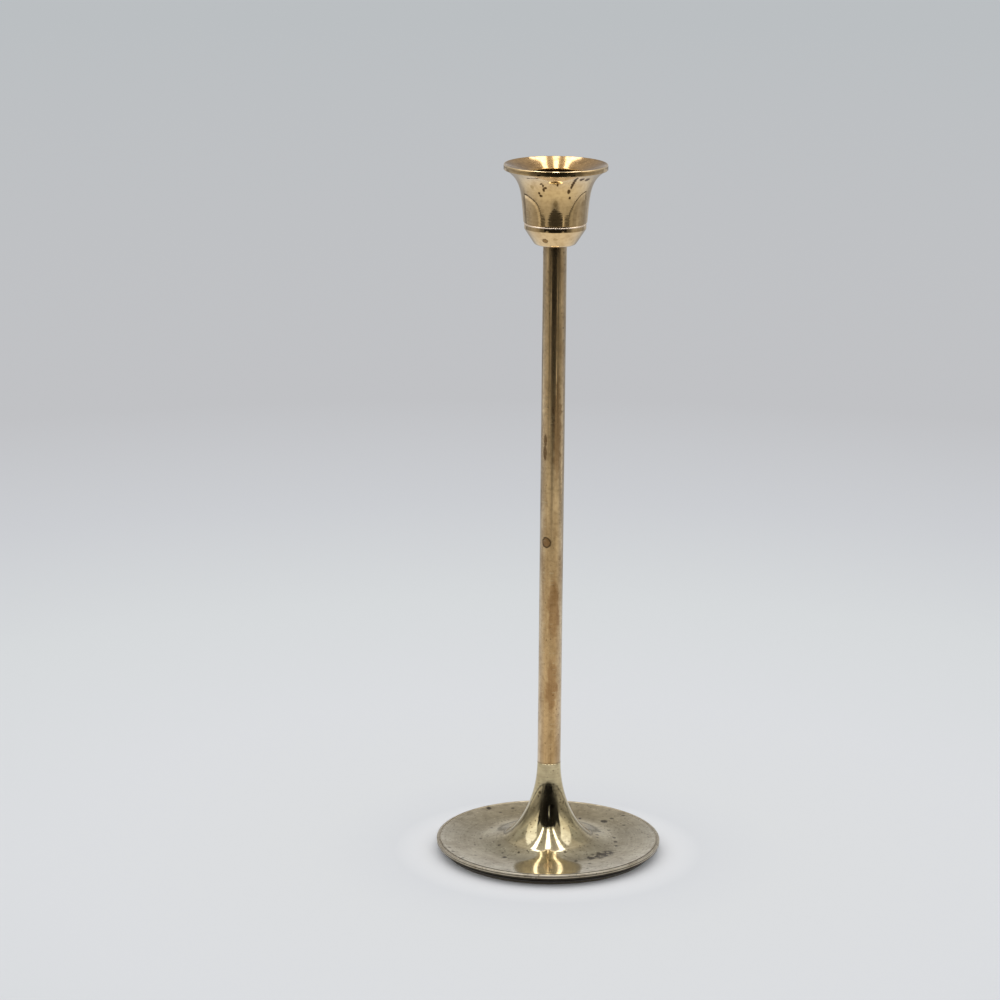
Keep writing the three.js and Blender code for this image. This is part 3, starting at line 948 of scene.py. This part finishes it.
rim_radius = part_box("candle_cup")[1].x / MM
lip_radius = rim_radius - RIM_LIP_WIDTH
band_bottom = CUP_HEIGHT - RIM_BAND_HEIGHT
flare_top_radius = rim_radius - RIM_OVERHANG
cup_groove_radius = WAIST_RADIUS - CUP_GROOVE_DEPTH
cup = turned(
    "candle_cup_turned",
    [
        (0, ROD_HOLE_DEPTH),
        (ROD_HOLE_RADIUS, ROD_HOLE_DEPTH),
        (ROD_HOLE_RADIUS, -SPIGOT_LENGTH),
        (SPIGOT_RADIUS - FINE_EDGE, -SPIGOT_LENGTH),
        (SPIGOT_RADIUS, FINE_EDGE - SPIGOT_LENGTH),
        (SPIGOT_RADIUS, 0),
        *rounded((0, 0), (CONE_FOOT, 0), (COLLAR_RADIUS, CONE_TOP), ROUND_EDGE, steps=10),
        *rounded((CONE_FOOT, 0), (COLLAR_RADIUS, CONE_TOP), (COLLAR_RADIUS, COLLAR_TOP), FINE_EDGE),
        (COLLAR_RADIUS, COLLAR_TOP - GROOVE_LIP / 2),
        *rounded(
            (COLLAR_RADIUS, COLLAR_TOP - GROOVE_LIP / 2),
            (COLLAR_RADIUS, COLLAR_TOP),
            (cup_groove_radius, COLLAR_TOP + GROOVE_LIP / 2),
            GROOVE_LIP / 4,
            steps=3,
        ),
        (cup_groove_radius, COLLAR_TOP + GROOVE_LIP / 2),
        (cup_groove_radius, FLARE_BOTTOM - CUP_GROOVE_TAPER),
        *swept(
            (WAIST_RADIUS, FLARE_BOTTOM),
            (WAIST_RADIUS + FLARE_BOTTOM_HANDLE[0], FLARE_BOTTOM + FLARE_BOTTOM_HANDLE[1]),
            (flare_top_radius - FLARE_TOP_HANDLE[0], band_bottom - FLARE_TOP_HANDLE[1]),
            (flare_top_radius, band_bottom),
            FLARE_STEPS,
        ),
        *rounded((0, band_bottom), (rim_radius, band_bottom), (rim_radius, CUP_HEIGHT), FINE_EDGE),
        *rounded((rim_radius, 0), (rim_radius, CUP_HEIGHT), (lip_radius, CUP_HEIGHT), SOFT_EDGE),
        *rounded(
            (rim_radius, CUP_HEIGHT),
            (lip_radius, CUP_HEIGHT),
            (SOCKET_RADIUS, SOCKET_TOP),
            FINE_EDGE,
        ),
        *rounded((lip_radius, CUP_HEIGHT), (SOCKET_RADIUS, SOCKET_TOP), (SOCKET_RADIUS, 0), SOFT_EDGE),
        (SOCKET_RADIUS, SOCKET_FLOOR + FINE_EDGE),
        (SOCKET_RADIUS - FINE_EDGE, SOCKET_FLOOR),
        (SOCKET_RADIUS / 2, SOCKET_FLOOR),
        (0, SOCKET_FLOOR),
    ],
    stem_high.z,
)
# Brightly polished brass. Everything inside it is browner, and below the funnel the socket is
# painted dark as shade. Drips have left small brown spots outside. The rings of turning show
# faintly all over, a painted highlight runs along the collar's top, and the gloss is paler towards
# the edges, as on the stem.
material, tree, shader = finish("polished_brass_bright")
place = add(tree, "TexCoord").outputs["Object"]
place = add(tree, "VectorMath", [place, (0, 0, stem_high.z)], operation="SUBTRACT")
radius, height = spun(tree, place)
# What faces the axis is inside the cup. Below the funnel it is painted dark as shade.
facing = add(tree, "NewGeometry").outputs["Normal"]
flat = add(tree, "VectorMath", [place, (1, 1, 0)], operation="MULTIPLY")
facing = add(tree, "VectorMath", [facing, flat], operation="DOT_PRODUCT")
inside = add(tree, "Math", [facing, -0.0001], operation="LESS_THAN")
deep_shade = [height, (SOCKET_TOP + SOCKET_DARK_FROM) * MM, (SOCKET_TOP + SOCKET_DARK_TO) * MM]
deep_shade = add(tree, "MapRange", deep_shade)
deep_shade = overlap(tree, inside, deep_shade)
along = add(tree, "Math", [radius, height], operation="ADD")
lines = rings(tree, along, apart=0.7)
swell = rings(tree, along, apart=5.0)
clouds = cloud(tree, place, apart=6.0, low=0.46, high=0.7, detail=4.0)
mottle = cloud(tree, place, apart=1.5, low=0.45, high=0.75, detail=4.0)
torn = ragged(tree, place, apart=0.9, reach=0.8)
spots = closest(tree, torn, CUP_SPOTS)
smudges = closest(tree, ragged(tree, place, apart=1.2, reach=0.9), CUP_SMUDGES)
blot = closest(tree, torn, [CUP_BLOT])
edge = border(tree, blot)
dots = specks(tree, torn, apart=3.2, size=0.28, share=0.5)
groove = band(tree, height, FLARE_BOTTOM - 0.3, half=0.15, soft=0.15)
# Painted highlight: a pale line along the top of the collar.
lip = band(tree, height, COLLAR_TOP, half=0.24, soft=0.08)
edgeward = add(tree, "LayerWeight", [0.5]).outputs["Facing"]
edgeward = add(tree, "MapRange", [edgeward, *CUP_PALING])
joint = band(tree, height, 0.0, half=0.15, soft=0.3)
colour = painted(
    tree,
    linear(CUP_BRASS),
    ("#F3E2C6", 0.7, edgeward),
    (CUP_BROWN, 0.20, clouds),
    (CUP_BROWN, 0.07, lines),
    (CUP_BROWN, 0.28, mottle),
    ("#8F6E2C", 0.4, smudges),
    ("#835E2C", 0.8, blot),
    (CUP_DARK, 0.8, edge),
    (CUP_DARK, 0.35, dots),
    (CUP_DARK, 0.92, spots),
    (CUP_BROWN, 0.2, groove),
    # painted highlight on the collar's top
    ("#FFEAD2", 0.8, lip),
    (CUP_DARK, 0.5, joint),
    ("#BA8F50", 0.85, inside),
    ("#5E4526", 0.4, inside, clouds),
    ("#6E4A22", 0.35, inside, mottle),
    # painted shade deep in the socket
    ("#3A2917", 1.0, deep_shade),
)
dull = summed(tree, 0.04, (clouds, 0.02), (mottle, 0.02), (inside, 0.05), (lip, 0.3))
roughness = summed(tree, dull, (spots, 0.15), (deep_shade, 0.3))
relief = summed(tree, 0.0, (lines, 0.0007), (swell, 0.002), (mottle, 0.0005), (spots, -0.008))
metal_finish(tree, shader, colour, roughness, relief)
cup.data.materials.append(material)
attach(cup, "root")
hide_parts("candle_cup")

# The tie rod, nut and washers: zinc-plated steel, hidden inside the stem and under the foot. The
# plating is a thin bright coat with a faint blue and yellow cast and small spangles.
ZINC = "#C4C7CC"
ZINC_BLUE = "#AEB8C6"
ZINC_YELLOW = "#CFC49A"
SPANGLE = 0.7
material, tree, shader = finish("zinc_plated_steel")
place = add(tree, "TexCoord").outputs["Object"]
spangle = add(tree, "TexVoronoi", {"Vector": place, "Scale": grain(SPANGLE)}).outputs["Color"]
spangle = add(tree, "SeparateColor", [spangle]).outputs["Red"]
clouds = cloud(tree, place, apart=2.0, low=0.4, high=0.65, detail=3.0)
yellow = cloud(tree, ragged(tree, place, apart=1.0, reach=1.0), apart=4.0, low=0.5, high=0.7)
colour = painted(
    tree,
    linear(ZINC),
    (ZINC_BLUE, 0.35, spangle),
    (ZINC_YELLOW, 0.45, yellow),
    ("#7E8288", 0.15, clouds),
)
roughness = summed(tree, 0.27, (spangle, 0.1), (clouds, 0.12))
metal_finish(tree, shader, colour, roughness, summed(tree, 0.0, (spangle, 0.003), (clouds, 0.004)))
for name in ("tie_rod", "flat_washer", "spring_washer", "hex_nut"):
    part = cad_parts[name]
    part.data.materials.clear()
    part.data.materials.append(material)
